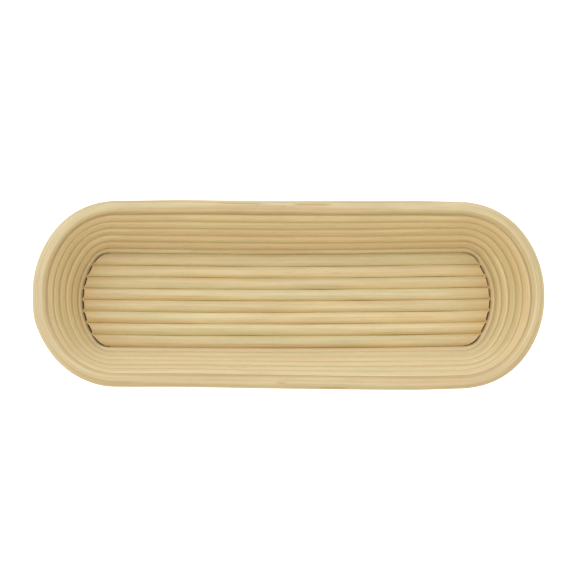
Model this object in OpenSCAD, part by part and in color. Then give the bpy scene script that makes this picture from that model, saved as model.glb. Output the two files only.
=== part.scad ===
// Long proofing basket of rattan cane: straight floor canes inside a flaring wall of bent hoops.
// Millimetres, +Z up. The origin is on the table under the middle of the floor, and X runs along the basket.

/* [Basket] */
// Overall length over the rim
basket_l = 400; // [340:1:480]
// Number of straight canes in the floor
floor_canes = 8; // [6:1:12]
// Number of wall hoops below the rim
wall_hoops = 6; // [3:1:9]
// Outward step of each hoop over the one below it
wall_step = 4.4; // [2:0.1:6]

/* [Cane] */
// Diameter of the floor and wall canes
cane_d = 9.2; // [7:0.1:12]
// Diameter of the rim cane
rim_d = 10.5; // [8:0.1:13]
// Gap between neighbouring canes
seat_gap = 0.15; // [0.05:0.05:0.4]
// Depth of the flat sanded along the underside
base_flat = 0.4; // [0.2:0.05:0.6]

/* [Ends] */
// Distance from the centre of an end arc to the centre of the corner arc beside it
arc_shift = 20; // [8:0.5:28]
// Gap between the floor canes' cut ends and the lowest hoop
end_gap = 0.3; // [0.1:0.1:2]

/* [Hoop joints] */
// Slant of the cut where the two ends of a hoop meet, measured from square
scarf_angle = 38; // [0:1:50]
// Width of the seam between the two ends
scarf_gap = 0.3; // [0.1:0.05:0.6]

/* [Staples] */
// Distance between staples along the long sides
staple_spacing = 50; // [35:1:60]
// Outside width of a staple's crown
crown_w = 4.6; // [3.8:0.1:5.4]
// Length of a staple's legs under the crown
leg_l = 6; // [4:0.5:6.5]
// Thickness of the flat staple wire
wire_t = 0.5; // [0.4:0.05:0.6]
// Width of the flat staple wire
wire_w = 1; // [0.6:0.1:1.4]
// Depth that a crown is driven into the canes
crown_sink = 0.45; // [0.45:0.05:0.7]

/* [Nails] */
// Diameter of a nail's shank
nail_d = 1.2; // [0.8:0.1:1.6]
// Length of a nail from head to point
nail_l = 25; // [18:0.5:30]
// Length of a nail's tapered point
point_l = 2.5; // [1:0.5:4]
// Diameter of the blunt end of a nail's point
point_d = 0.4; // [0.2:0.05:0.6]
// Diameter of a nail's head
head_d = 2.4; // [2:0.1:3]
// Thickness of a nail's head
head_t = 0.8; // [0.5:0.1:1.2]
// Height that a nail's head stands proud of the hoop's outside
head_proud = 0.3; // [0:0.05:0.5]
// Clearance round staples and nails in the canes
fit_gap = 0.05; // [0.02:0.01:0.1]

/* [Hidden] */
$fn = 96;
cane_colour = "#dcc391";
rim_colour = "#e2cb9d";
steel_colour = "#a9abad";

// Plan sizes are kept to a thousandth, so that the straight and bent stretches of a loop meet exactly
function plain(size) = round(size * 1000) / 1000;
plain_shift = round(arc_shift * 100) / 100;

// Sections through the wall, as distance outside the floor's outline and height
pitch = cane_d + seat_gap;
rim = wall_hoops + 1;
floor_z = cane_d / 2 - base_flat;
wall_rise = sqrt(pitch ^ 2 - wall_step ^ 2);
rim_reach = (cane_d + rim_d) / 2 + seat_gap;
rim_step = wall_step + (rim_d - cane_d) / 2;
rim_rise = sqrt(rim_reach ^ 2 - rim_step ^ 2);
function hoop_d(k) = k == rim ? rim_d : cane_d;
function hoop_out(k) =
    plain(k == rim ? hoop_out(k - 1) + rim_step : cane_d / 2 + (k - 1) * wall_step);
function hoop_z(k) = k == rim ? hoop_z(k - 1) + rim_rise : floor_z + (k - 1) * wall_rise;

// Plan of the floor: straight sides, a large arc at each end and a smaller arc at each corner.
// The arcs meet on a 3:4:5 slope, which keeps their centres plain decimals too
meet_cos = 0.8;
meet_sin = 0.6;
meet_a = atan2(meet_sin, meet_cos);
floor_half_w = plain((floor_canes * pitch + seat_gap) / 2);
floor_half_l = plain(basket_l / 2 - rim_d - wall_hoops * wall_step);
corner_y = meet_sin * plain_shift;
corner_r = floor_half_w - corner_y;
end_r = corner_r + plain_shift;
end_x = floor_half_l - end_r;
corner_x = end_x + meet_cos * plain_shift;
function floor_x(y) =
    abs(y) <= end_r * meet_sin
        ? end_x + sqrt(end_r ^ 2 - y ^ 2)
        : corner_x + sqrt(max(0, corner_r ^ 2 - (abs(y) - corner_y) ^ 2));
function cane_y(j) = (j - (floor_canes + 1) / 2) * pitch;

// Fastening places along the outline, each as [x, y, direction of the outward normal].
// Those at the tips lie between two floor canes, clear of the nails in the canes' ends
side_steps = floor(corner_x / staple_spacing);
corner_mid_a = (meet_a + 90) / 2;
side_places = [
    for (side = [-1, 1], i = [-side_steps:side_steps])
        [i * staple_spacing, side * floor_half_w, side * 90]
];
tip_y = cane_y(ceil(floor_canes / 2)) + pitch / 2;
tip_a = asin(tip_y / end_r);
tip_places = [
    for (end = [-1, 1]) [end * floor_x(tip_y), tip_y, end > 0 ? tip_a : 180 - tip_a]
];
corner_places = [
    for (end = [-1, 1], side = [-1, 1]) [
        end * (corner_x + corner_r * cos(corner_mid_a)),
        side * (corner_y + corner_r * sin(corner_mid_a)),
        atan2(side * sin(corner_mid_a), end * cos(corner_mid_a))
    ]
];
staple_places = concat(side_places, tip_places, corner_places);

// Floor rows lie on the staples' grid, hoop seams halfway between, and side nails a quarter step from both
floor_rows = [for (i = [-side_steps:side_steps]) if (i != 0) i * staple_spacing];
nail_first_x = 3 * staple_spacing / 4;
nail_spacing = 3 * staple_spacing / 2;
nail_steps = floor((corner_x - nail_first_x) / nail_spacing);
side_nail_xs = [
    for (end = [-1, 1], m = [0:nail_steps]) end * (nail_first_x + nail_spacing * m)
];
seam_steps = [-0.5, 0.5, -1.5];
function seam_x(k) = seam_steps[(rim - k) % len(seam_steps)] * staple_spacing;
end_nail_canes = [2:floor_canes - 1];

// A bent stretch of cane about the Z axis, between two directions given as [x, y].
// The ring and its section start on the far side and the inside, where nothing is cut into the cane.
// The wedge that trims the ring reaches a round number of millimetres, well past it
module cane_arc(r, d, from, to) {
    reach = 10 * ceil((r + d) / 5);
    middle = from + to;
    intersection() {
        rotate([0, 0, middle[0] > 0 ? 180 : 0])
            rotate_extrude()
                translate([r, 0])
                    rotate(180)
                        circle(d = d);
        linear_extrude(2 * d, center = true)
            polygon([[0, 0], reach * from, reach * middle, reach * to]);
    }
}

// A closed loop of cane that runs a set distance outside the floor's outline.
// Where two bends meet, a ball inside the cane overlaps both, so that they fuse at any size
module cane_loop(out, d) {
    for (side = [-1, 1])
        translate([-corner_x, side * (floor_half_w + out), 0])
            rotate([0, 90, 0])
                cylinder(d = d, h = 2 * corner_x);
    for (end = [-1, 1]) {
        translate([end * end_x, 0, 0])
            cane_arc(end_r + out, d, [end * meet_cos, -meet_sin], [end * meet_cos, meet_sin]);
        for (side = [-1, 1]) {
            translate([end * corner_x, side * corner_y, 0])
                cane_arc(corner_r + out, d, [end * meet_cos, side * meet_sin], [0, side]);
            translate([
                end * (end_x + meet_cos * (end_r + out)),
                side * meet_sin * (end_r + out),
                0
            ])
                sphere(d = d / 2);
        }
    }
}

// Moves its children to a fastening place, with X along the outward normal
module at_place(place) {
    translate([place[0], place[1], 0])
        rotate([0, 0, place[2]])
            children();
}

// A staple across two touching canes. Its origin is where they meet, X points out and Z along the row of canes
module staple(grow = 0) {
    seat = sqrt((cane_d / 2) ^ 2 - ((pitch - crown_w) / 2) ^ 2) - crown_sink;
    width = wire_w + 2 * grow;
    translate([seat - grow, -width / 2, -crown_w / 2 - grow])
        cube([wire_t + 2 * grow, width, crown_w + 2 * grow]);
    for (leg_z = [-crown_w / 2, crown_w / 2 - wire_t])
        translate([seat - leg_l - grow, -width / 2, leg_z - grow])
            cube([leg_l + wire_t + 2 * grow, width, wire_t + 2 * grow]);
}

// A nail whose head's outer face is at the origin and whose point is along -X. Its hole runs out past the head
module nail(grow = 0, hole_out = 0) {
    rotate([0, -90, 0]) {
        translate([0, 0, -hole_out])
            cylinder(d = head_d + 2 * grow, h = head_t + hole_out + grow);
        cylinder(d = nail_d + 2 * grow, h = nail_l - point_l + grow);
        translate([0, 0, nail_l - point_l + grow])
            cylinder(d1 = nail_d + 2 * grow, d2 = point_d + 2 * grow, h = point_l);
    }
}

// The staples that join hoop k to the one above it
module wall_staple_set(k, grow = 0) {
    out_step = hoop_out(k + 1) - hoop_out(k);
    z_step = hoop_z(k + 1) - hoop_z(k);
    meet = pitch / 2 / norm([out_step, z_step]);
    for (place = staple_places)
        at_place(place)
            translate([hoop_out(k) + meet * out_step, 0, hoop_z(k) + meet * z_step])
                rotate([0, atan2(out_step, z_step), 0])
                    staple(grow);
}

// The staples of one row under the floor, between the canes from first to last
module floor_staple_set(x, first = 1, last = floor_canes, grow = 0) {
    for (j = [first:1:last - 1])
        translate([x, cane_y(j) + pitch / 2, floor_z])
            rotate([0, 90, 0])
                rotate([90, 0, 0])
                    staple(grow);
}

// The nails driven along the floor canes through one round end of the lowest hoop
module end_nail_set(end, canes = end_nail_canes, grow = 0, hole_out = 0) {
    for (j = canes)
        translate([
            end * (end_x + sqrt((end_r + cane_d) ^ 2 - cane_y(j) ^ 2) + head_proud),
            cane_y(j),
            floor_z
        ])
            rotate([0, 0, end > 0 ? 0 : 180])
                nail(grow, hole_out);
}

// The nails driven across the floor through one long side of the lowest hoop
module side_nail_set(side, grow = 0, hole_out = 0) {
    for (x = side_nail_xs)
        translate([x, side * (floor_half_w + cane_d + head_proud), floor_z])
            rotate([0, 0, side * 90])
                nail(grow, hole_out);
}

// One straight floor cane, cut at both ends to follow the lowest hoop
module floor_cane(j) {
    y = cane_y(j);
    cut_ys = [y - pitch / 2, y, y + pitch / 2];
    color(cane_colour)
        difference() {
            intersection() {
                translate([-floor_half_l, y, floor_z])
                    rotate([0, 90, 0])
                        cylinder(d = cane_d, h = 2 * floor_half_l);
                linear_extrude(cane_d)
                    polygon([
                        for (i = [0:2]) [floor_x(cut_ys[i]) - end_gap, cut_ys[i]],
                        for (i = [2:-1:0]) [end_gap - floor_x(cut_ys[i]), cut_ys[i]]
                    ]);
            }
            for (x = floor_rows)
                floor_staple_set(x, max(1, j - 1), min(floor_canes, j + 1), fit_gap);
            for (end = [-1, 1])
                if (j > 1 && j < floor_canes)
                    end_nail_set(end, [j], fit_gap);
            for (side = [-1, 1])
                side_nail_set(side, fit_gap);
        }
}

// One hoop of bent cane with the slanted seam where its two ends meet
module hoop(k) {
    difference() {
        translate([0, 0, hoop_z(k)])
            cane_loop(hoop_out(k), hoop_d(k));
        translate([seam_x(k), floor_half_w + hoop_out(k), hoop_z(k)])
            rotate([0, 0, -scarf_angle])
                cube([scarf_gap, 3 * hoop_d(k), 2 * hoop_d(k)], center = true);
        if (k > 1)
            wall_staple_set(k - 1, fit_gap);
        if (k < rim)
            wall_staple_set(k, fit_gap);
    }
}

// The lowest hoop, flat underneath and drilled by the nails that hold the floor
module lowest_hoop() {
    difference() {
        hoop(1);
        translate([-basket_l, -basket_l, -2 * cane_d])
            cube([2 * basket_l, 2 * basket_l, 2 * cane_d]);
        for (end = [-1, 1])
            end_nail_set(end, grow = fit_gap, hole_out = cane_d);
        for (side = [-1, 1])
            side_nail_set(side, fit_gap, cane_d);
    }
}

module wall_hoop(k) {
    color(cane_colour)
        if (k == 1)
            lowest_hoop();
        else
            hoop(k);
}

module rim_hoop() {
    color(rim_colour)
        hoop(rim);
}

module wall_staples(k) {
    color(steel_colour)
        wall_staple_set(k);
}

module floor_staples(i) {
    color(steel_colour)
        floor_staple_set(floor_rows[i - 1]);
}

module end_nails(end) {
    color(steel_colour)
        end_nail_set(end);
}

module side_nails(side) {
    color(steel_colour)
        side_nail_set(side);
}

for (j = [1:floor_canes])
    floor_cane(j);
for (k = [1:wall_hoops])
    wall_hoop(k);
rim_hoop();
for (k = [1:wall_hoops])
    wall_staples(k);
for (i = [1:len(floor_rows)])
    floor_staples(i);
end_nails(-1);  // end_nails_left
end_nails(1);  // end_nails_right
side_nails(-1);  // side_nails_front
side_nails(1);  // side_nails_back

echo(overall_w = 2 * (floor_half_w + hoop_out(rim)) + rim_d, overall_h = hoop_z(rim) + rim_d / 2);
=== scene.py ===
import math

import bmesh
import bpy
import numpy as np
from mathutils import Matrix, Vector


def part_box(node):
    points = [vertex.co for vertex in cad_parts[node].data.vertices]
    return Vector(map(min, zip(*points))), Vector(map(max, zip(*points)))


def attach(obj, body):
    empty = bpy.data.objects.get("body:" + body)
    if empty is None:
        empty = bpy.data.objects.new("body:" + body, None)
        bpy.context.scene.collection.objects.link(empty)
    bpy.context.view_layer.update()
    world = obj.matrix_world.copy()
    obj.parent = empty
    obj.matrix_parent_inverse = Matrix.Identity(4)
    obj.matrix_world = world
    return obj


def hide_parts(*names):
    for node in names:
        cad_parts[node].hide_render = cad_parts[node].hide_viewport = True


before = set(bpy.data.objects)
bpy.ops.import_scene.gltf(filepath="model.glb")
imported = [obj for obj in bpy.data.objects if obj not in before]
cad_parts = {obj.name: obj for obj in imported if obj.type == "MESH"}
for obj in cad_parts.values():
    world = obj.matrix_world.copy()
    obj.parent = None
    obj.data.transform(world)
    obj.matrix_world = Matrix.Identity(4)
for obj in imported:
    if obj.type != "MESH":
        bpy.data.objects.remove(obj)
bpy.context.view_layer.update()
mm = 0.001
print("frame loaded:", len(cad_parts), "nodes")


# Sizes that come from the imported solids, in millimetres
def nodeBox(name):
    low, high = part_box(name)
    return np.array(low) / mm, np.array(high) / mm


def numbered(prefix):
    found = [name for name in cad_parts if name.startswith(prefix)]
    return sorted(found, key=lambda name: int(name.rsplit("_", 1)[1]))


floorNodes = numbered("floor_cane_")
hoopNodes = numbered("wall_hoop_") + ["rim_hoop"]
wallStapleNodes = numbered("wall_staples_")
floorStapleNodes = numbered("floor_staples_")
nailNodes = [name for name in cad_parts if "_nails_" in name]


def hoopSize(name):
    low, high = nodeBox(name)
    ref = name if name != "wall_hoop_1" else "wall_hoop_2"  # the lowest hoop is sanded flat underneath
    refLow, refHigh = nodeBox(ref)
    d = refHigh[2] - refLow[2]
    return {"d": d, "halfLength": high[0] - d / 2, "halfWidth": high[1] - d / 2, "z": high[2] - d / 2}


hoops = {name: hoopSize(name) for name in hoopNodes}
caneD = hoops["wall_hoop_2"]["d"]
lowest = hoops["wall_hoop_1"]
rimSize = hoops["rim_hoop"]

# How the arcs of a hoop meet, as in the solids: end and corner arcs join on a 3:4:5 slope
plan = {"arcShift": 20.0, "arcCos": 0.8, "arcSin": 0.6}


def loopShape(halfLength, halfWidth, shift=plan["arcShift"]):
    cornerY = plan["arcSin"] * shift
    cornerR = halfWidth - cornerY
    endR = cornerR + shift
    endX = halfLength - endR
    return {"cornerX": endX + plan["arcCos"] * shift, "cornerY": cornerY, "cornerR": cornerR,
            "endX": endX, "endR": endR}


# Centre line of one hoop, from its joint on the back side once round, clockwise seen from above
def loopPath(halfLength, halfWidth, startX, step=0.25):
    shape = loopShape(halfLength, halfWidth)
    meet = math.degrees(math.atan2(plan["arcSin"], plan["arcCos"]))
    cx, cy = shape["cornerX"], shape["cornerY"]
    runs = [
        ("straight", startX, cx, 1),
        ("bend", cx, cy, shape["cornerR"], 90, meet),
        ("bend", shape["endX"], 0, shape["endR"], meet, -meet),
        ("bend", cx, -cy, shape["cornerR"], -meet, -90),
        ("straight", cx, -cx, -1),
        ("bend", -cx, -cy, shape["cornerR"], -90, meet - 180),
        ("bend", -shape["endX"], 0, shape["endR"], meet - 180, -meet - 180),
        ("bend", -cx, cy, shape["cornerR"], -meet - 180, -270),
        ("straight", -cx, startX, 1),
    ]
    xs, ys, outX, outY = [], [], [], []
    for run in runs:
        if run[0] == "straight":
            count = int(abs(run[2] - run[1]) / step) + 2
            xs.append(np.linspace(run[1], run[2], count)[:-1])
            ys.append(np.full(count - 1, run[3] * halfWidth))
            outX.append(np.zeros(count - 1))
            outY.append(np.full(count - 1, float(run[3])))
        else:
            count = int(math.radians(abs(run[5] - run[4])) * run[3] / step) + 2
            angle = np.radians(np.linspace(run[4], run[5], count)[:-1])
            xs.append(run[1] + run[3] * np.cos(angle))
            ys.append(run[2] + run[3] * np.sin(angle))
            outX.append(np.cos(angle))
            outY.append(np.sin(angle))
    x = np.append(np.concatenate(xs), startX)
    y = np.append(np.concatenate(ys), halfWidth)
    out = np.stack([np.append(np.concatenate(outX), 0.0), np.append(np.concatenate(outY), 1.0)], axis=1)
    along = np.concatenate([[0.0], np.cumsum(np.hypot(np.diff(x), np.diff(y)))])
    return {"along": along, "xy": np.stack([x, y], axis=1), "out": out}


# Goes from 0 to 1 with a soft start and a soft end
def ease(value):
    value = np.clip(value, 0, 1)
    return value ** 2 * (3 - 2 * value)


# Height as a share, 0 at the lowest hoop and 1 at the rim
def riseAt(z):
    return np.clip((z - lowest["z"]) / (rimSize["z"] - lowest["z"]), 0, 1)


# The basket is bent by hand, so its plan isn't quite true: the floor bows towards the front, the walls lean
# forwards, more so at the right and at the left end, one corner is fuller, and the right end is slim
basketLean = {
    "floorBow": -1.6,            # mm at the middle of the length; negative is towards the front
    "bowReach": 165.0,           # mm from the middle to where the bow ends
    "frontShift": -0.2,          # mm at rim height, of the front wall
    "frontSpread": -2.9,         # mm more at each reach to the right
    "backShift": -0.9,           # the same two for the back wall
    "backSpread": -0.9,
    "spreadReach": 160.0,        # mm
    "sideBlend": 20.0,           # mm over which the front wall's moves turn into the back wall's
    "wallBow": 1.0,              # mm outwards at the ends of the back wall, at half its height
    "leftShift": -1.7,           # mm at rim height, of the left end
    "leftReach": (70.0, 150.0),  # mm from the middle to where it begins and where it is full
    "leftFull": -2.1,            # mm at rim height, at the corner of left end and front; outwards
    "fullReach": 30.0,           # mm from the middle of the width to where that is full
    "rightLong": 1.0,            # mm at rim height, outwards at the right end
    "rightSlim": 0.017,          # share of the width that is missing there at rim height
    "rightReach": (95.0, 150.0),
}


def lean(points):
    moved = np.array(points, float)
    x, y, z = moved.T.copy()
    rise = riseAt(z)
    across = x / basketLean["spreadReach"]
    back = 0.5 + 0.5 * np.tanh(y / basketLean["sideBlend"])
    frontMove = basketLean["frontShift"] + basketLean["frontSpread"] * across
    backMove = basketLean["backShift"] + basketLean["backSpread"] * across
    fromMiddle = (x / basketLean["bowReach"]) ** 2
    bow = basketLean["floorBow"] * (1 - fromMiddle)
    bow = bow + basketLean["wallBow"] * fromMiddle * 4 * rise * (1 - rise) * back
    begin, full = basketLean["leftReach"]
    left = ease((-x - begin) / (full - begin))
    begin, full = basketLean["rightReach"]
    right = ease((x - begin) / (full - begin))
    corner = ease(-y / basketLean["fullReach"])
    endMove = basketLean["leftShift"] * left - basketLean["rightSlim"] * right * y
    outMove = basketLean["leftFull"] * left * corner + basketLean["rightLong"] * right
    moved[:, 0] = x + rise * outMove
    moved[:, 1] = y + bow + rise * ((1 - back) * frontMove + back * backMove + endMove)
    return moved


# The floor's ends are blunter than the rim's: the lower a hoop, the sharper its corners
fullEnd = {
    "shift": 18.0,    # mm more between the centres of end and corner arcs at the lowest hoop
    "reach": 0.5,     # mm that the lowest hoop is longer at each end
    "from": 80.0,     # mm from the middle of the length to where this begins
}


def fuller(points):
    moved = np.array(points, float)
    x, y = np.abs(moved[:, 0]), np.abs(moved[:, 1])
    shape = loopShape(lowest["halfLength"], lowest["halfWidth"])
    endTurn = np.arctan2(y, x - shape["endX"])
    cornerTurn = np.arctan2(np.maximum(y - shape["cornerY"], 0), np.maximum(x - shape["cornerX"], 0))
    onEnd = y * plan["arcCos"] <= (x - shape["endX"]) * plan["arcSin"]
    grow = 1 - plan["arcSin"]
    moveX = np.where(onEnd, grow * (np.cos(endTurn) - 1),
                     plan["arcCos"] - grow - plan["arcSin"] * np.cos(cornerTurn))
    moveY = np.where(onEnd, grow * np.sin(endTurn), plan["arcSin"] * (1 - np.sin(cornerTurn)))
    share = ease((x - fullEnd["from"]) / (shape["cornerX"] - fullEnd["from"])) * (1 - riseAt(moved[:, 2]))
    moved[:, 0] += np.sign(moved[:, 0]) * (moveX * fullEnd["shift"] + fullEnd["reach"]) * share
    moved[:, 1] += np.sign(moved[:, 1]) * moveY * fullEnd["shift"] * share
    return moved


# Colours are written as sRGB hex and turned to linear here
def hexColor(code):
    parts = [int(code[i:i + 2], 16) / 255 for i in (1, 3, 5)]
    return (*[c / 12.92 if c <= 0.04045 else ((c + 0.055) / 1.055) ** 2.4 for c in parts], 1.0)


# Adds a node: settings go to its sockets or, where no socket has that name, to its properties
def addNode(tree, kind, settings=None, links=None):
    node = tree.nodes.new(kind)
    for name, value in (settings or {}).items():
        if isinstance(name, int) or name in node.inputs:
            node.inputs[name].default_value = value
        else:
            setattr(node, name, value)
    for socket, source in (links or {}).items():
        tree.links.new(source, node.inputs[socket])
    return node


def newMaterial(name):
    material = bpy.data.materials.new(name)
    material.use_nodes = True
    material.node_tree.nodes.clear()
    return material, material.node_tree


# Peeled rattan core, drawn round through a die and dried: a pale straw colour with long soft streaks,
# fine fibre lines, a few brown flecks, and a dull surface that shines only a little along the fibres
rattanLook = {
    "patterns": {               # mm along the cane, mm across it, detail
        "streak": (150.0, 2.6, 3.0),
        "hue": (230.0, 5.0, 2.0),
        "cloud": (40.0, 9.0, 2.0),
        "fibre": (55.0, 0.55, 3.0),   # real fibres are about 0.2 mm wide; drawn coarser so that they show
        "fleck": (14.0, 0.7, 1.0),
        "line": (120.0, 0.9, 1.0),
    },
    "patternRoughness": 0.62,
    "ranges": {                 # the pattern that each share or gain comes from, and its limits
        "streak": ("streak", {"From Min": 0.36, "From Max": 0.68}),
        "pink": ("hue", {"From Min": 0.42, "From Max": 0.7, "To Max": 0.75}),
        "green": ("hue", {"From Min": 0.5, "From Max": 0.32, "To Max": 0.6}),
        "cloud": ("cloud", {"From Min": 0.3, "From Max": 0.7, "To Min": 0.95, "To Max": 1.05}),
        "fibre": ("fibre", {"From Min": 0.3, "From Max": 0.7, "To Min": 0.91, "To Max": 1.07}),
        "fleck": ("fleck", {"From Min": 0.7, "From Max": 0.8, "To Max": 0.45}),
        "line": ("line", {"From Min": 0.63, "From Max": 0.76, "To Max": 0.32}),
        "rough": ("fibre", {"From Min": 0.3, "From Max": 0.7, "To Min": 0.52, "To Max": 0.7}),
    },
    # crease is the colour of the shade painted into the creases
    "tones": {
        "rattan_floor": {"pale": "#d6c799", "deep": "#cab174", "pink": "#d5bb87",
                         "green": "#cdc38f", "fleck": "#936f3f", "crease": "#c09036"},
        "rattan_wall": {"pale": "#d6c494", "deep": "#c6ac6f", "pink": "#d1b583",
                        "green": "#c9be8a", "fleck": "#916d3d", "crease": "#a67621"},
        "rattan_rim": {"pale": "#cdbf92", "deep": "#b1985f", "pink": "#caad80",
                       "green": "#c9b687", "fleck": "#a67a35", "crease": "#a88a55"},
    },
    "edgeColor": "#e6d6b2",     # paler where a sawn edge was broken, partly a painted highlight there; also painted light at the wall's front and back, the rim's left and the last floor cane
    "ior": 1.53,                # cellulose
    "wax": (0.35, 0.5),         # weight and roughness of the thin natural wax, which whitens the lit sides
    "dustFull": 0.8,            # share of the crease shade mask where dust makes the surface fully rough
    "fibreBump": 0.35,
    "fibreDepth": 0.05,         # mm
    "glowThrough": 0.2,         # share of the light that passes through the outer fibres
    "glowReach": (2.4, 1.4, 0.7),   # mm for red, green and blue: warm light in the creases
}


def rattanCore(slotName):
    tones = {name: hexColor(code) for name, code in rattanLook["tones"][slotName].items()}
    material, tree = newMaterial("rattanCoreDrawn_" + slotName)
    # crease is where shade is painted; edge is the pale tone of broken edges and of painted light
    layers = {name: addNode(tree, "ShaderNodeAttribute", {"attribute_name": name})
              for name in ("grain", "tone", "crease", "stain", "edge")}
    noise = {}
    for name, (long, wide, detail) in rattanLook["patterns"].items():
        scaled = addNode(tree, "ShaderNodeVectorMath",
                         {"operation": "MULTIPLY", 1: (1 / long, 1 / wide, 1 / wide)},
                         {0: layers["grain"].outputs["Vector"]})
        noise[name] = addNode(tree, "ShaderNodeTexNoise",
                              {"Scale": 1.0, "Detail": detail, "Roughness": rattanLook["patternRoughness"]},
                              {"Vector": scaled.outputs[0]}).outputs["Fac"]
    share = {name: addNode(tree, "ShaderNodeMapRange", limits, {"Value": noise[pattern]}).outputs[0]
             for name, (pattern, limits) in rattanLook["ranges"].items()}
    # long streaks between pale and deep straw
    straw = addNode(tree, "ShaderNodeMix", {"data_type": "RGBA", 6: tones["pale"], 7: tones["deep"]},
                    {0: share["streak"]})
    # wide bands that turn a little pink or green
    warm = addNode(tree, "ShaderNodeMix", {"data_type": "RGBA", 7: tones["pink"]},
                   {0: share["pink"], 6: straw.outputs[2]})
    varied = addNode(tree, "ShaderNodeMix", {"data_type": "RGBA", 7: tones["green"]},
                     {0: share["green"], 6: warm.outputs[2]})
    # soft clouds along the cane and a small difference from cane to cane, as a gain on the colour
    gain = addNode(tree, "ShaderNodeMath", {"operation": "MULTIPLY"},
                   {0: share["cloud"], 1: layers["tone"].outputs["Fac"]})
    toned = addNode(tree, "ShaderNodeVectorMath", {"operation": "SCALE"},
                    {0: varied.outputs[2], "Scale": gain.outputs[0]})
    # fibre lines darken and lighten in turn
    fibred = addNode(tree, "ShaderNodeVectorMath", {"operation": "SCALE"},
                     {0: toned.outputs[0], "Scale": share["fibre"]})
    # sparse brown flecks, a few long brown lines where a vessel was cut open, and the marks on the rim
    lines = addNode(tree, "ShaderNodeMath", {"operation": "MAXIMUM"}, {0: share["fleck"], 1: share["line"]})
    marks = addNode(tree, "ShaderNodeMath", {"operation": "MAXIMUM"},
                    {0: lines.outputs[0], 1: layers["stain"].outputs["Fac"]})
    flecked = addNode(tree, "ShaderNodeMix", {"data_type": "RGBA", 7: tones["fleck"]},
                      {0: marks.outputs[0], 6: fibred.outputs[0]})
    # painted shade: a darker, yellower tone where two canes touch, and near the ends of the floor canes
    settled = addNode(tree, "ShaderNodeMix", {"data_type": "RGBA", 7: tones["crease"]},
                      {0: layers["crease"].outputs["Fac"], 6: flecked.outputs[2]})
    # pale tone: at the broken edges of the cuts, partly a painted highlight, and as painted light at the
    # walls' front and back, the rim's left and the last floor cane
    paled = addNode(tree, "ShaderNodeMix", {"data_type": "RGBA", 7: hexColor(rattanLook["edgeColor"])},
                    {0: layers["edge"].outputs["Fac"], 6: settled.outputs[2]})
    # dust lies in the creases and leaves them matt; the same mask paints their shade
    dusty = addNode(tree, "ShaderNodeMapRange", {"From Max": rattanLook["dustFull"]},
                    {"Value": layers["crease"].outputs["Fac"]})
    matt = addNode(tree, "ShaderNodeMath", {"operation": "MAXIMUM"},
                   {0: share["rough"], 1: dusty.outputs[0]})
    bump = addNode(tree, "ShaderNodeBump",
                   {"Strength": rattanLook["fibreBump"], "Distance": rattanLook["fibreDepth"] * mm},
                   {"Height": noise["fibre"]})
    shader = addNode(tree, "ShaderNodeBsdfPrincipled",
                     {"IOR": rattanLook["ior"], "Coat Weight": rattanLook["wax"][0],
                      "Coat Roughness": rattanLook["wax"][1],
                      "Subsurface Weight": rattanLook["glowThrough"],
                      "Subsurface Radius": rattanLook["glowReach"], "Subsurface Scale": mm},
                     {"Base Color": paled.outputs[2], "Roughness": matt.outputs[0],
                      "Normal": bump.outputs[0]})
    addNode(tree, "ShaderNodeOutputMaterial", None, {"Surface": shader.outputs[0]})
    return material


# Sawn end of rattan core: rough and matt, with the open vessels as darker dots; its brown is darker than
# the end grain's own colour, painted shade for the deep gaps where the ends are seen
cutLook = {
    "ground": "#7a5426",
    "pore": "#553a18",
    "poreSpacing": 0.55,        # mm
    "poreRange": {"From Min": 0.15, "From Max": 0.4, "To Min": 0.9, "To Max": 0.0},
    "poreBump": 0.5,
    "poreDepth": 0.1,           # mm
    "roughness": 0.85,
    "ior": 1.53,                # cellulose
    "gloss": 0.1,               # dusty, so hardly any
}


def rattanCut():
    material, tree = newMaterial("rattanCoreSawn")
    grain = addNode(tree, "ShaderNodeAttribute", {"attribute_name": "grain"})
    spacing = 1 / cutLook["poreSpacing"]
    face = addNode(tree, "ShaderNodeVectorMath", {"operation": "MULTIPLY", 1: (0.0, spacing, spacing)},
                   {0: grain.outputs["Vector"]})
    cells = addNode(tree, "ShaderNodeTexVoronoi", {"Scale": 1.0}, {"Vector": face.outputs[0]})
    pores = addNode(tree, "ShaderNodeMapRange", cutLook["poreRange"], {"Value": cells.outputs["Distance"]})
    color = addNode(tree, "ShaderNodeMix",
                    {"data_type": "RGBA", 6: hexColor(cutLook["ground"]), 7: hexColor(cutLook["pore"])},
                    {0: pores.outputs[0]})
    bump = addNode(tree, "ShaderNodeBump",
                   {"Strength": cutLook["poreBump"], "Distance": cutLook["poreDepth"] * mm},
                   {"Height": cells.outputs["Distance"]})
    shader = addNode(tree, "ShaderNodeBsdfPrincipled",
                     {"IOR": cutLook["ior"], "Roughness": cutLook["roughness"],
                      "Specular IOR Level": cutLook["gloss"]},
                     {"Base Color": color.outputs[2], "Normal": bump.outputs[0]})
    addNode(tree, "ShaderNodeOutputMaterial", None, {"Surface": shader.outputs[0]})
    return material


# Steel fasteners: galvanised flat wire is dull grey with faint zinc crystals, drawn nail wire is brighter;
# grit and depth are in mm
steelLook = {
    "staple_wire": {"name": "steelGalvanised", "light": "#c3c5c4", "dark": "#8f9291", "grit": 0.6,
                    "rough": {"To Min": 0.34, "To Max": 0.52}, "bump": 0.2, "depth": 0.03},
    "nail_steel": {"name": "steelDrawn", "light": "#b9b7b2", "dark": "#85817a", "grit": 0.35,
                   "rough": {"To Min": 0.26, "To Max": 0.42}, "bump": 0.2, "depth": 0.03},
}


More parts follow.
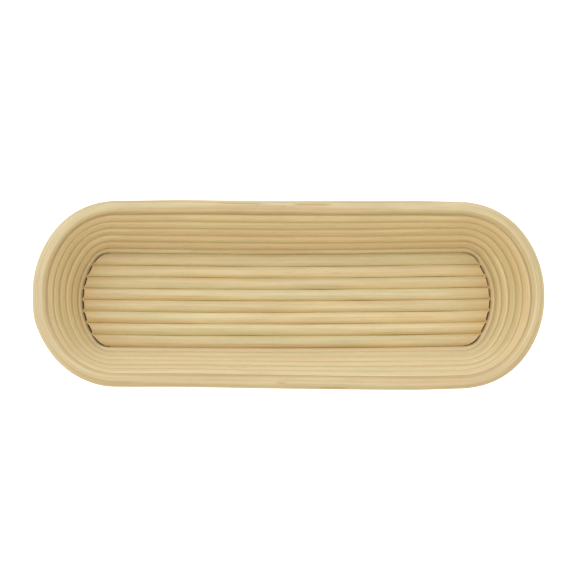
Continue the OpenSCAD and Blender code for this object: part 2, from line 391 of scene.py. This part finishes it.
def fastenerSteel(slotName):
    look = steelLook[slotName]
    material, tree = newMaterial(look["name"])
    place = addNode(tree, "ShaderNodeTexCoord")
    scaled = addNode(tree, "ShaderNodeVectorMath", {"operation": "SCALE", "Scale": 1 / (look["grit"] * mm)},
                     {0: place.outputs["Object"]})
    cells = addNode(tree, "ShaderNodeTexNoise", {"Scale": 1.0, "Detail": 3.0},
                    {"Vector": scaled.outputs[0]})
    color = addNode(tree, "ShaderNodeMix",
                    {"data_type": "RGBA", 6: hexColor(look["dark"]), 7: hexColor(look["light"])},
                    {0: cells.outputs["Fac"]})
    rough = addNode(tree, "ShaderNodeMapRange", look["rough"], {"Value": cells.outputs["Fac"]})
    bump = addNode(tree, "ShaderNodeBump", {"Strength": look["bump"], "Distance": look["depth"] * mm},
                   {"Height": cells.outputs["Fac"]})
    shader = addNode(tree, "ShaderNodeBsdfPrincipled", {"Metallic": 1.0},
                     {"Base Color": color.outputs[2], "Roughness": rough.outputs[0],
                      "Normal": bump.outputs[0]})
    addNode(tree, "ShaderNodeOutputMaterial", None, {"Surface": shader.outputs[0]})
    return material


materials = {slotName: rattanCore(slotName) for slotName in rattanLook["tones"]}
materials.update({slotName: fastenerSteel(slotName) for slotName in steelLook})
cutMaterial = rattanCut()
print("materials made:", len(materials) + 1)


# A slow, smooth random line with values of about -1 to 1; whole waves where the cane closes on itself
def wander(along, length, rng, waves=(2, 3, 5, 7)):
    total = np.zeros_like(along)
    for count in waves:
        total += rng.uniform(0.4, 1.0) / math.sqrt(count) * np.sin(
            2 * math.pi * count * along / length + rng.uniform(0, 2 * math.pi))
    return total / 1.3


# Natural unevenness of a drawn cane
caneForm = {
    "columns": 44,
    "ringStep": 1.6,                   # mm along the cane
    "thickness": 0.010,                # share of the radius that the thickness wanders
    "lobes": 0.006,                    # share of the radius that the section is out of round
    "lobeCounts": ((2, 1.0), (3, 0.5)),    # lobes round the section and how strong they are
    "lobeTurn": 6.28,                  # radians, the most that the lobes are turned: about once round
    "sway": 0.12,                      # mm sideways
    "swell": 0.14,                     # mm on the diameter: canes are pressed until they touch
    "bevelRings": (0.0, 0.12, 0.35, 0.65, 1.0),
    "toneSpread": 0.05,                # share that canes differ in brightness
    "grainSpread": 4000.0,             # mm, so that no two canes show the same grain
    "markEnd": 1.4,                    # marks fade out between 0.6 and 1.2 of their half length
}


# Ring places along a cane: even steps, and closer ones round the broken edge at both ends
def ringPlaces(length, step, bevel):
    ends = np.array(caneForm["bevelRings"]) * bevel
    count = int((length - 4 * bevel) / step) + 1
    middle = np.linspace(2 * bevel, length - 2 * bevel, count)
    return np.concatenate([ends, middle, length - ends[::-1]])


# Pressed between its neighbours, a section has flat sides and a flatter crown, which faces the given angle
def pressSection(radius, turn, crownR, facing):
    across = radius * np.sin(facing - turn)[None, :]
    raised = radius * np.cos(facing - turn)[None, :]
    pressed = radius - crownR + np.sqrt(crownR ** 2 - across ** 2)
    raised = np.where(np.cos(facing - turn)[None, :] > 0.01, np.maximum(raised, pressed), raised)
    sideways = across * math.sin(facing) + raised * math.cos(facing)
    upwards = raised * math.sin(facing) - across * math.cos(facing)
    return sideways, upwards


# Share of the painted crease shade; each crease shade has an angle on the section, a width in radians and a
# depth
def creaseShadeShares(rings, turn, creaseShades):
    total = np.zeros((rings, len(turn)))
    for angle, width, depth in creaseShades:
        off = np.angle(np.exp(1j * (turn - angle)))
        total = np.maximum(total, depth * np.exp(-(off / width) ** 2)[None, :])
    return total


# Share of the fleck tone that single marks give
def markShares(points, turn, d, marks):
    total = np.zeros(points.shape[:2])
    for mark in marks:
        off = np.angle(np.exp(1j * (turn - math.radians(mark["turn"])))) * d / 2
        near = np.exp(-(off / mark["width"]) ** 2)[None, :]
        near = near * np.sign(points[..., 1] * mark["side"]).clip(0, 1)
        reach = np.abs(points[..., 0] - mark["x"]) / (mark["length"] / 2)
        total = np.maximum(total, mark["strength"] * near * np.clip(caneForm["markEnd"] - reach ** 2, 0, 1))
    return total


# Mesh of rings that follow each other, closed by a fan of faces on each sawn end; the last two points are
# the middles of the ends
def caneMesh(name, verts, rings, columns):
    index = np.arange(rings * columns).reshape(rings, columns)
    nextColumn = np.roll(index, -1, axis=1)
    quads = np.stack([index[:-1], index[1:], nextColumn[1:], nextColumn[:-1]], axis=2).reshape(-1, 4)
    first, last = rings * columns, rings * columns + 1
    faces = quads.tolist()
    faces += [[first, int(a), int(b)] for a, b in zip(index[0], nextColumn[0])]
    faces += [[last, int(b), int(a)] for a, b in zip(index[-1], nextColumn[-1])]
    mesh = bpy.data.meshes.new(name)
    mesh.from_pydata((verts * mm).tolist(), [], faces)
    onSide = np.arange(len(faces)) < len(quads)
    mesh.polygons.foreach_set("use_smooth", onSide)
    mesh.polygons.foreach_set("material_index", (~onSide).astype(np.int32))
    return mesh


# Sweeps a round section along a centre line and closes both sawn ends
def sweepCane(name, slotName, along, centre, out, ahead, d, skewAt, rng, creaseShades, bevel, columns, marks=(),
              crown=None, closed=False, bleach=0.0):
    length = along[-1]
    turn = np.linspace(0, 2 * math.pi, columns, endpoint=False)
    radius = d / 2 * (1 + caneForm["thickness"] * wander(along, length, rng))[:, None]
    lobes = 0.0
    for count, strength in caneForm["lobeCounts"]:
        twist = rng.uniform(0, caneForm["lobeTurn"]) + 2 * wander(along, length, rng)[:, None]
        lobes = lobes + strength * np.cos(count * turn[None, :] + twist)
    radius = radius * (1 + caneForm["lobes"] * lobes)
    corner = np.clip(1 - np.minimum(along, length - along) / bevel, 0, 1)
    radius = radius - bevel * (1 - np.sqrt(1 - corner ** 2))[:, None]
    centre = centre + caneForm["sway"] * wander(along, length, rng)[:, None] * out
    if crown:
        sideways, upwards = pressSection(radius, turn, *crown)
    else:
        sideways, upwards = radius * np.cos(turn)[None, :], radius * np.sin(turn)[None, :]
    skew = skewAt(sideways)
    points = centre[:, None, :] + sideways[..., None] * out[:, None, :]
    points = points + skew[..., None] * ahead[:, None, :]
    points[..., 2] += upwards
    grainShift = rng.uniform(0, caneForm["grainSpread"])
    grainAlong = along[:, None] + skew
    if closed:  # the maker joins ends of like tone, so the grain runs alike to both sides of the joint
        grainAlong = np.abs(grainAlong - length / 2)
    grain = np.stack([grainAlong + grainShift, sideways, upwards], axis=2)
    endGrain = np.array([[grainShift, 0, 0], [grainShift + length, 0, 0]])
    ends = np.stack([points[0].mean(axis=0), points[-1].mean(axis=0)])
    verts = np.concatenate([points.reshape(-1, 3), ends])
    verts[:, 2] = np.maximum(verts[:, 2], 0.0)  # the underside is sanded flat
    mesh = caneMesh(name, lean(verts), len(along), columns)
    tone = 1 + caneForm["toneSpread"] * rng.uniform(-1, 1)
    # the pale tone at the broken edges of the cuts, partly a painted highlight, and the painted light
    pale = np.repeat(np.maximum(np.minimum(1, 2 * corner), bleach), columns)
    onEnds = [0.0, 0.0]
    values = {
        "grain": ("FLOAT_VECTOR", "vector", np.concatenate([grain.reshape(-1, 3), endGrain])),
        "tone": ("FLOAT", "value", np.full(len(verts), tone)),
        "crease": ("FLOAT", "value", np.append(creaseShadeShares(len(along), turn, creaseShades), onEnds)),
        "stain": ("FLOAT", "value", np.append(markShares(points, turn, d, marks), onEnds)),
        "edge": ("FLOAT", "value", np.append(pale, onEnds)),
    }
    for key, (kind, field, data) in values.items():
        layer = mesh.attributes.new(key, kind, "POINT")
        layer.data.foreach_set(field, data.astype(np.float32).ravel())
    mesh.materials.append(materials[slotName])
    mesh.materials.append(cutMaterial)
    mesh.update()
    cane = bpy.data.objects.new(name, mesh)
    bpy.context.scene.collection.objects.link(cane)
    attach(cane, "root")
    return cane


# Floor canes: straight, side by side, each sawn off beside the lowest hoop: they touch it where two canes
# meet, and a dark gap with a flat middle is left at each cut
floorForm = {
    "endGap": 1.05,      # mm between the middle of a cut and the hoop
    "gapSpread": 0.25,   # mm that the sawn lengths differ
    "gapShare": 0.8,     # share of the cane's width that the gap spans
    "gapPower": 6,       # the higher, the longer the gap stays wide
    "sideSink": 0.5,     # mm that the corners of a cut press into the hoop
    "cutBlend": 34.0,    # mm over which the rings turn into the slant of the cut
    "bevel": 0.3,        # mm, broken edge of the cut
    "backCrease": (0.22, 0.6),     # radians wide, share of the painted crease shade
    "frontCreases": ((0.28, 0.72), (0.9, 0.27)),
    "endCrease": (15.0, 0.38),     # mm along the cane from its end, share of the painted shade there
    "crownR": 6.0,       # mm, radius of the upper side where the canes press on each other
    "outerGap": 0.5,     # share of the end gap at the first and last cane, which are cut on a long slant
    "outerSwell": 0.55,  # mm that the first and last cane bulge into the hoop beside them
    "backBleach": 0.16,  # share of the pale tone, painted light, at the last cane towards the back
    "ringStep": 2.0,     # mm along the cane
}


def floorEnd(y):
    shape = loopShape(lowest["halfLength"] + fullEnd["reach"] - caneD / 2, lowest["halfWidth"] - caneD / 2,
                      plan["arcShift"] + fullEnd["shift"])
    y = min(abs(y), shape["cornerY"] + shape["cornerR"])
    if y <= shape["endR"] * plan["arcSin"]:
        return shape["endX"] + math.sqrt(shape["endR"] ** 2 - y ** 2)
    return shape["cornerX"] + math.sqrt(max(0.0, shape["cornerR"] ** 2 - (y - shape["cornerY"]) ** 2))


rng = np.random.default_rng(11)
for number, node in enumerate(floorNodes, 1):
    low, high = nodeBox(node)
    y, z, half = (low[1] + high[1]) / 2, high[2] - caneD / 2, caneD / 2
    swell = caneForm["swell"]
    gaps = floorForm["endGap"] + floorForm["gapSpread"] * rng.uniform(-1, 1, 2)
    if number in (1, len(floorNodes)):
        swell += floorForm["outerSwell"]
        y += math.copysign(floorForm["outerSwell"] / 2, y)
        gaps = gaps * floorForm["outerGap"]
    leftEnd, rightEnd = gaps[0] - floorEnd(y), floorEnd(y) - gaps[1]
    along = ringPlaces(rightEnd - leftEnd, floorForm["ringStep"], floorForm["bevel"])
    x = leftEnd + along
    turnLeft = np.clip(1 - (x - leftEnd) / floorForm["cutBlend"], 0, 1)[:, None] ** 2
    turnRight = np.clip(1 - (rightEnd - x) / floorForm["cutBlend"], 0, 1)[:, None] ** 2

    # the cut follows the hoop at the sides of the cane and stays back from it in the middle
    def floorSkew(sideways):
        ends = np.vectorize(floorEnd)(y + sideways) - floorEnd(y)
        lens = 1 - (sideways / (floorForm["gapShare"] * half)) ** floorForm["gapPower"]
        left = ends + gaps[0] - np.maximum(gaps[0] * lens, -floorForm["sideSink"])
        right = ends + gaps[1] - np.maximum(gaps[1] * lens, -floorForm["sideSink"])
        return turnRight * right - turnLeft * left

    centre = np.column_stack([x, np.full_like(x, y), np.full_like(x, z)])
    out = np.tile([0.0, 1.0, 0.0], (len(x), 1))
    ahead = np.tile([1.0, 0.0, 0.0], (len(x), 1))
    # painted shade: in the creases at the back and front of each cane, and all round it near its ends
    reach, depth = floorForm["endCrease"]
    fromEnd = np.minimum(x - leftEnd, rightEnd - x)[:, None]
    creaseShades = [(0.0, *floorForm["backCrease"])]
    creaseShades += [(math.pi, *crease) for crease in floorForm["frontCreases"]]
    creaseShades.append((math.pi / 2, 4 * math.pi, depth * np.exp(-fromEnd / reach)))  # painted shade all round the cane near its end
    # painted light on the last cane towards the back
    cane = sweepCane(f"floorCane{number}", "rattan_floor", along, centre, out, ahead, caneD + swell,
                     floorSkew, rng, creaseShades, floorForm["bevel"], caneForm["columns"],
                     crown=(floorForm["crownR"], math.pi / 2),
                     bleach=floorForm["backBleach"] * max(0.0, y / lowest["halfWidth"]) ** 2)
    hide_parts(node)
print("floor canes made:", len(floorNodes))

# Hoops: one bent cane each, with a slanted butt joint on the back side
hoopForm = {
    "seamXs": {"wall_hoop_1": -25.0, "wall_hoop_2": -75.0, "wall_hoop_3": 25.0, "wall_hoop_4": -25.0,
               "wall_hoop_5": -75.0, "wall_hoop_6": 25.0, "rim_hoop": -25.0},
    "seamSlant": 38.0,             # degrees from square
    "seamGap": 0.06,               # mm, pressed almost shut
    "seamBevel": 0.14,             # mm
    "seamStep": 0.12,              # mm that each end stands above or below the hoop's own level
    "seamBlend": 24.0,             # mm over which the rings turn into the slant
    "crownR": 8.5,                 # mm, radius of the inner side where the hoops press on each other
    "creaseTurn": 0.38,            # radians from the contact to where the painted shade shows from inside
    "upperCrease": (0.15, 0.85),   # radians wide, share of the painted crease shade
    "sideClean": (0.85, 0.1),      # share of that which is missing at the front and at the back
    "lowerCrease": (0.3, 0.1),
    "floorCrease": (0.45, 0.85),   # painted shade on the lowest hoop, beside the floor
    "rimCrease": (1.2, 0.45),
    "rimFade": 0.9,                # share of the painted crease shade by the rim that is missing at right end and front
    "rimOuter": (1.2, 0.4),        # painted shade on the rim's outside at the front
    "bleach": (0.25, 0.15, 0.14),  # share of the pale tone, painted light, at the wall's front and back and the rim's left
    "rimColumns": 60,
    "rimStep": 1.2,                # mm along the rim
}
# Small marks on the rim: turn is degrees up from the outside of the section, side is back or front
rimMarks = [
    {"x": -38.0, "side": 1, "turn": 66, "length": 36.0, "width": 0.55, "strength": 0.75},
    {"x": 19.0, "side": 1, "turn": 74, "length": 28.0, "width": 0.6, "strength": 0.85},
    {"x": -4.0, "side": 1, "turn": 92, "length": 4.0, "width": 0.9, "strength": 0.3},
    {"x": 34.0, "side": -1, "turn": 34, "length": 22.0, "width": 0.6, "strength": 0.85},
    {"x": -7.0, "side": -1, "turn": 74, "length": 7.0, "width": 0.5, "strength": 0.6},
]


# Painted crease shade where a hoop touches its neighbours, and its flatter crown on the inner side
def hoopContacts(level, outX, outY):
    size, rimLevel = hoops[hoopNodes[level]], len(hoopNodes) - 1
    creaseShades, crown = [], None
    for other in (level - 1, level + 1):
        if not 0 <= other <= rimLevel:
            continue
        near = hoops[hoopNodes[other]]
        contact = math.atan2(near["z"] - size["z"], near["halfWidth"] - size["halfWidth"])
        kept = 1.0
        if rimLevel in (level, other):
            kept = 1 - hoopForm["rimFade"] * np.maximum(outX, -outY).clip(0, 1)
        if other > level:
            crown = (hoopForm["crownR"], contact + math.pi / 2)
            width, depth = hoopForm["upperCrease"]
            clean = np.where(outY < 0, *hoopForm["sideClean"]) * outY ** 2
            creaseShades.append((contact + hoopForm["creaseTurn"], width, depth * (1 - clean) * kept))
        else:
            width, depth = hoopForm["rimCrease" if level == rimLevel else "lowerCrease"]
            creaseShades.append((contact, width, depth * kept))
    if level == 0:
        creaseShades.append((math.pi, *hoopForm["floorCrease"]))
    if level == rimLevel:
        # painted shade on the rim's outside at the front
        width, depth = hoopForm["rimOuter"]
        creaseShades.append((0.0, width, depth * np.clip(-outY, 0, 1) ** 2))
    return creaseShades, crown


for level, node in enumerate(hoopNodes):
    size = hoops[node]
    path = loopPath(size["halfLength"], size["halfWidth"], hoopForm["seamXs"][node])
    length = path["along"][-1] - hoopForm["seamGap"]
    front, back, rimLeft = hoopForm["bleach"]
    isRim = node == "rim_hoop"
    if isRim:
        name, slotName, marks = "rimHoop", "rattan_rim", rimMarks
        step, columns = hoopForm["rimStep"], hoopForm["rimColumns"]
    else:
        name, slotName, marks = f"wallHoop{level + 1}", "rattan_wall", ()
        step, columns = caneForm["ringStep"], caneForm["columns"]
    along = ringPlaces(length, step, hoopForm["seamBevel"])
    at = along + hoopForm["seamGap"] / 2
    xy = np.stack([np.interp(at, path["along"], path["xy"][:, i]) for i in (0, 1)], axis=1)
    outXy = np.stack([np.interp(at, path["along"], path["out"][:, i]) for i in (0, 1)], axis=1)
    outXy /= np.linalg.norm(outXy, axis=1)[:, None]
    nearEnd = np.clip(1 - np.minimum(along, length - along) / hoopForm["seamBlend"], 0, 1) ** 2
    z = np.full_like(at, size["z"]) + hoopForm["seamStep"] * nearEnd * np.sign(along - length / 2)
    centre = fuller(np.column_stack([xy, z]))
    out = np.column_stack([outXy, np.zeros_like(at)])
    ahead = np.column_stack([outXy[:, 1], -outXy[:, 0], np.zeros_like(at)])
    slant = math.tan(math.radians(hoopForm["seamSlant"])) * nearEnd[:, None]
    creaseShades, crown = hoopContacts(level, outXy[:, :1], outXy[:, 1:])
    # painted light: a paler tone towards the wall's front and back, and at the rim's left
    bleach = np.where(outXy[:, 1] < 0, front, back) * outXy[:, 1] ** 2
    if isRim:
        bleach = rimLeft * np.clip(-outXy[:, 0], 0, 1) ** 2
    cane = sweepCane(name, slotName, along, centre, out, ahead, size["d"] + caneForm["swell"],
                     lambda sideways: slant * sideways, rng, creaseShades, hoopForm["seamBevel"], columns,
                     marks, crown=crown, closed=True, bleach=bleach)
    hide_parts(node)
print("hoops made:", len(hoopNodes))

# Staples and nails: the solids' own shapes, with broken edges, moved with the canes that they hold
fastenerForm = {
    "edge": 0.07,         # mm
    "edgeSegments": 2,
    "edgeAngle": 40.0,    # degrees, the least bend that counts as an edge
    "mergeAt": 0.001,     # mm
    "flatAngle": 1.0,     # degrees, the most that faces of one flat side differ
    "planRatio": 3.0,     # length to width of the hoops, roughly
}


def fasteners(node, name, slotName):
    mesh = bpy.data.meshes.new(name)
    work = bmesh.new()
    work.from_mesh(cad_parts[node].data)
    bmesh.ops.remove_doubles(work, verts=work.verts[:], dist=fastenerForm["mergeAt"] * mm)
    bmesh.ops.dissolve_limit(work, angle_limit=math.radians(fastenerForm["flatAngle"]),
                             verts=work.verts[:], edges=work.edges[:])
    if node not in floorStapleNodes:  # each one moves as a whole with the hoop at its outermost point
        left = set(work.verts)
        while left:
            group, fresh = set(), {left.pop()}
            while fresh:
                group |= fresh
                fresh = {edge.other_vert(vert) for vert in fresh for edge in vert.link_edges} - group
            left -= group
            # points equally far out are told apart by their coordinates, so that each run gives the same
            outermost = max((vert.co for vert in group),
                            key=lambda co: ((co.x / fastenerForm["planRatio"]) ** 2 + co.y ** 2, *co))
            spot = np.array([outermost]) / mm
            step = Vector(((fuller(spot) - spot) * mm)[0])
            for vert in group:
                vert.co += step
    work.to_mesh(mesh)
    work.free()
    points = np.zeros(len(mesh.vertices) * 3)
    mesh.vertices.foreach_get("co", points)
    mesh.vertices.foreach_set("co", (lean(points.reshape(-1, 3) / mm) * mm).ravel())
    mesh.materials.clear()
    mesh.materials.append(materials[slotName])
    mesh.update()
    piece = bpy.data.objects.new(name, mesh)
    bpy.context.scene.collection.objects.link(piece)
    edge = piece.modifiers.new("brokenEdge", "BEVEL")
    edge.width = fastenerForm["edge"] * mm
    edge.segments = fastenerForm["edgeSegments"]
    edge.limit_method = "ANGLE"
    edge.angle_limit = math.radians(fastenerForm["edgeAngle"])
    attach(piece, "root")
    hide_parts(node)


for node in wallStapleNodes + floorStapleNodes + nailNodes:
    words = node.split("_")
    name = words[0] + "".join(word.capitalize() for word in words[1:])
    fasteners(node, name, "nail_steel" if node in nailNodes else "staple_wire")
print("fasteners made:", len(wallStapleNodes + floorStapleNodes + nailNodes))

# Plain pale floor: smooth matt paper, lit brightly and given a painted glow so that it reads as white
stageForm = {
    "size": 6.0,                     # m
    "drop": 0.3,                     # mm below the basket
    "color": "#f4f3f0",
    "roughness": 0.9,
    "gloss": 0.2,
    "grain": 0.4,                    # mm, felt of the paper
    "grainBump": 0.1,
    "grainDepth": 0.05,              # mm
    "glow": 0.7,
    "bounce": 0.25,                  # share of the painted glow that reaches the basket
    "shadeHalf": 0.124,              # m, half the length of the line that the shade lies round
    "shadeReach": (0.050, 0.076),    # m from that line: soft shade round the basket, where the painted glow is left out
    "underColor": "#7a3a06",         # painted shadow: a dark brown patch under the basket's floor
    "underReach": (0.036, 0.042),
}


def paperFloor():
    material, tree = newMaterial("paperMatt")
    place = addNode(tree, "ShaderNodeTexCoord")
    scaled = addNode(tree, "ShaderNodeVectorMath",
                     {"operation": "SCALE", "Scale": 1 / (stageForm["grain"] * mm)},
                     {0: place.outputs["Object"]})
    felt = addNode(tree, "ShaderNodeTexNoise", {"Scale": 1.0, "Detail": 2.0}, {"Vector": scaled.outputs[0]})
    bump = addNode(tree, "ShaderNodeBump",
                   {"Strength": stageForm["grainBump"], "Distance": stageForm["grainDepth"] * mm},
                   {"Height": felt.outputs["Fac"]})
    # distance from a line under the middle of the basket
    mirrored = addNode(tree, "ShaderNodeVectorMath", {"operation": "ABSOLUTE"},
                       {0: place.outputs["Object"]})
    pastHalf = addNode(tree, "ShaderNodeVectorMath",
                       {"operation": "SUBTRACT", 1: (stageForm["shadeHalf"], 0.0, 0.0)},
                       {0: mirrored.outputs[0]})
    fromLine = addNode(tree, "ShaderNodeVectorMath", {"operation": "MAXIMUM", 1: (0.0, 0.0, 0.0)},
                       {0: pastHalf.outputs[0]})
    reach = addNode(tree, "ShaderNodeVectorMath", {"operation": "LENGTH"}, {0: fromLine.outputs[0]})
    # painted shadow: the paper turns dark brown under the basket
    under = addNode(tree, "ShaderNodeMapRange",
                    {"From Min": stageForm["underReach"][0], "From Max": stageForm["underReach"][1]},
                    {"Value": reach.outputs["Value"]})
    color = addNode(tree, "ShaderNodeMix",
                    {"data_type": "RGBA", 6: hexColor(stageForm["underColor"]),
                     7: hexColor(stageForm["color"])},
                    {0: under.outputs[0]})
    # painted glow: the paper gives off light itself, left out near the basket; the camera sees all of it,
    # the basket only the bounce share
    glow = addNode(tree, "ShaderNodeMapRange",
                   {"From Min": stageForm["shadeReach"][0], "From Max": stageForm["shadeReach"][1],
                    "To Max": stageForm["glow"]}, {"Value": reach.outputs["Value"]})
    path = addNode(tree, "ShaderNodeLightPath")
    share = addNode(tree, "ShaderNodeMath", {"operation": "MAXIMUM", 1: stageForm["bounce"]},
                    {0: path.outputs["Is Camera Ray"]})
    seen = addNode(tree, "ShaderNodeMath", {"operation": "MULTIPLY"},
                   {0: glow.outputs[0], 1: share.outputs[0]})
    shader = addNode(tree, "ShaderNodeBsdfPrincipled",
                     {"Roughness": stageForm["roughness"], "Specular IOR Level": stageForm["gloss"],
                      "Emission Color": (1, 1, 1, 1)},
                     {"Base Color": color.outputs[2], "Normal": bump.outputs[0],
                      "Emission Strength": seen.outputs[0]})
    addNode(tree, "ShaderNodeOutputMaterial", None, {"Surface": shader.outputs[0]})
    half, level = stageForm["size"] / 2, -stageForm["drop"] * mm
    corners = [(x * half, y * half, level) for x, y in ((-1, -1), (1, -1), (1, 1), (-1, 1))]
    mesh = bpy.data.meshes.new("paperFloor")
    mesh.from_pydata(corners, [], [(0, 1, 2, 3)])
    mesh.materials.append(material)
    floor = bpy.data.objects.new("paperFloor", mesh)
    bpy.context.scene.collection.objects.link(floor)


paperFloor()

# Soft studio light: a tent of slightly warm white, brightest towards the front, dimmest towards the right
# end and even at the horizon, and a weak cool soft box from above and behind
lightForm = {
    "tent": 1.0,
    "tentColor": "#fffaf2",
    "tentLean": (-0.13, -0.08, 0.0),    # share that it is brighter towards right, back and top
    "tentSpread": (-0.2, 0.15, 0.0),    # share that it is brighter towards both ends, both sides and top
    "horizon": 1.0,
    "horizonTop": (0.02, 0.10),         # heights where it stops being even and where the tent is full
    "boxPlace": (-0.2, 1.0, 1.75),      # m
    "boxSize": 1.6,                     # m
    "boxPower": 21.5,                   # W
    "boxColor": "#cadcff",
}


def studioLight():
    scene = bpy.context.scene
    scene.world = bpy.data.worlds.new("whiteSurround")
    scene.world.use_nodes = True
    tree = scene.world.node_tree
    tree.nodes.clear()
    toward = addNode(tree, "ShaderNodeTexCoord").outputs["Generated"]
    split = addNode(tree, "ShaderNodeSeparateXYZ", None, {0: toward})
    spread = addNode(tree, "ShaderNodeVectorMath",
                     {"operation": "MULTIPLY_ADD", 1: lightForm["tentSpread"], 2: lightForm["tentLean"]},
                     {0: toward})
    side = addNode(tree, "ShaderNodeVectorMath", {"operation": "DOT_PRODUCT"},
                   {0: toward, 1: spread.outputs[0]})
    tent = addNode(tree, "ShaderNodeMath",
                   {"operation": "MULTIPLY_ADD", 1: lightForm["tent"], 2: lightForm["tent"]},
                   {0: side.outputs["Value"]})
    fade = addNode(tree, "ShaderNodeMapRange",
                   {"From Min": lightForm["horizonTop"][0], "From Max": lightForm["horizonTop"][1],
                    "To Min": lightForm["horizon"]},
                   {"Value": split.outputs["Z"], "To Max": tent.outputs[0]})
    sky = addNode(tree, "ShaderNodeBackground", {"Color": hexColor(lightForm["tentColor"])},
                  {"Strength": fade.outputs[0]})
    addNode(tree, "ShaderNodeOutputWorld", None, {"Surface": sky.outputs[0]})
    lamp = bpy.data.lights.new("softBox", "AREA")
    lamp.size = lightForm["boxSize"]
    lamp.energy = lightForm["boxPower"]
    lamp.color = hexColor(lightForm["boxColor"])[:3]
    box = bpy.data.objects.new("softBox", lamp)
    box.location = lightForm["boxPlace"]
    box.rotation_mode = "QUATERNION"
    box.rotation_quaternion = (-Vector(lightForm["boxPlace"])).to_track_quat("-Z", "Y")
    scene.collection.objects.link(box)
    scene.view_settings.view_transform = "Standard"


studioLight()

# Camera: almost straight above, a little from the front and left, with a long lens
cameraForm = {
    "place": (-0.0613, -0.2252, 1.8259),    # m
    "target": (0.00475, 0.00609, 0.0),      # m
    "roll": -0.116,                         # degrees
    "lens": 140.5,                          # mm
    "sensor": 36.0,                         # mm
    "clip": (0.05, 50.0),                   # m
}


def photoCamera():
    data = bpy.data.cameras.new("photoCamera")
    data.lens = cameraForm["lens"]
    data.sensor_width = cameraForm["sensor"]
    data.clip_start, data.clip_end = cameraForm["clip"]
    camera = bpy.data.objects.new("photoCamera", data)
    bpy.context.scene.collection.objects.link(camera)
    place = Vector(cameraForm["place"])
    view = (Vector(cameraForm["target"]) - place).normalized()
    right = (Vector((1, 0, 0)) - view * view.x).normalized()  # picture's right is along the basket
    up = right.cross(view)
    turn = Matrix.Rotation(math.radians(cameraForm["roll"]), 4, "Z")
    axes = Matrix((right, up, -view)).transposed().to_4x4()
    camera.matrix_world = Matrix.Translation(place) @ axes @ turn
    bpy.context.scene.camera = camera


photoCamera()
print("stage, light and camera set")
